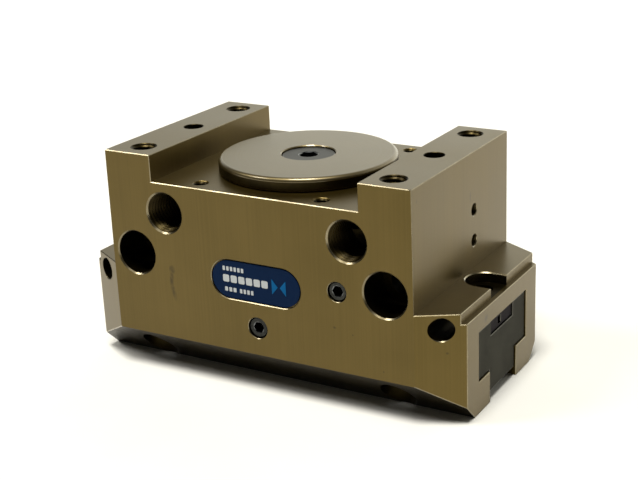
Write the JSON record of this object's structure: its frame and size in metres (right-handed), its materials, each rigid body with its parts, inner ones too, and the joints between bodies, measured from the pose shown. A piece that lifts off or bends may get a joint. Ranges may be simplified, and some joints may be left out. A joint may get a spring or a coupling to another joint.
{
  "type": "pneumatic gripper",
  "caption": "Two-jaw parallel pneumatic gripper: anodised block with mounting rails, round cylinder cover, side air ports and base jaws in a T-slot drawn together by a wedge hook.",
  "frame": {"origin": "middle of the base, on the surface that the gripper stands on", "axes": "+X along the jaws' travel (longest), +Y away from the face with the nameplate, +Z from the jaws to the mounting rails"},
  "size_m": [0.125, 0.064, 0.068],
  "materials": {
    "anodised_aluminium": "hard-anodised olive bronze, fine milled satin",
    "cover_aluminium": "hard-anodised grey brown, turned satin with a polished rim",
    "piston_aluminium": "turned, plain",
    "zinc_steel": "blue-grey zinc plating, satin",
    "hardened_steel": "hardened and ground",
    "cover_steel": "rolled sheet, plain",
    "jaw_steel": "hardened, dark oxide, fine ground",
    "cam_steel": "dark oxide, satin",
    "black_steel": "black oxide screws",
    "seal_rubber": "moulded seal, matt",
    "nameplate_blue": "printed dark blue film, satin"
  },
  "bodies": {
    "housing_body": {"housing": "anodised_aluminium", "cylinder_cover": "cover_aluminium", "cover_oring": "seal_rubber", "cover_plug": "zinc_steel", "cover_plug_oring": "seal_rubber", "rod_seal": "seal_rubber", "nameplate": "nameplate_blue", "set_screw_upper": "zinc_steel", "set_screw_lower": "zinc_steel", "base_cover_plate": "cover_steel", "base_cover_screw_1": "black_steel", "base_cover_screw_2": "black_steel", "base_cover_screw_3": "black_steel", "base_cover_screw_4": "black_steel"},
    "piston_body": {"piston": "piston_aluminium", "piston_seal": "seal_rubber", "piston_screw": "black_steel", "wedge_hook": "hardened_steel"},
    "jaw_left_body": {"jaw_left": "jaw_steel", "switch_cam_left": "cam_steel", "switch_cam_screw_left": "black_steel"},
    "jaw_right_body": {"jaw_right": "jaw_steel", "switch_cam_right": "cam_steel", "switch_cam_screw_right": "black_steel"}
  },
  "joints": [
    {"name": "piston_slide", "type": "slide", "parent": "housing_body", "child": "piston_body", "axis": [0, 0, 1], "range_m": [0, 0.0125]},
    {"name": "jaw_left_slide", "type": "slide", "parent": "housing_body", "child": "jaw_left_body", "axis": [1, 0, 0], "range_m": [0, 0.01]},
    {"name": "jaw_right_slide", "type": "slide", "parent": "housing_body", "child": "jaw_right_body", "axis": [-1, 0, 0], "range_m": [0, 0.01]}
  ],
  "couplings": [
    {"joint": "jaw_left_slide", "follows": "piston_slide", "ratio": 0.8},
    {"joint": "jaw_right_slide", "follows": "piston_slide", "ratio": 0.8}
  ]
}
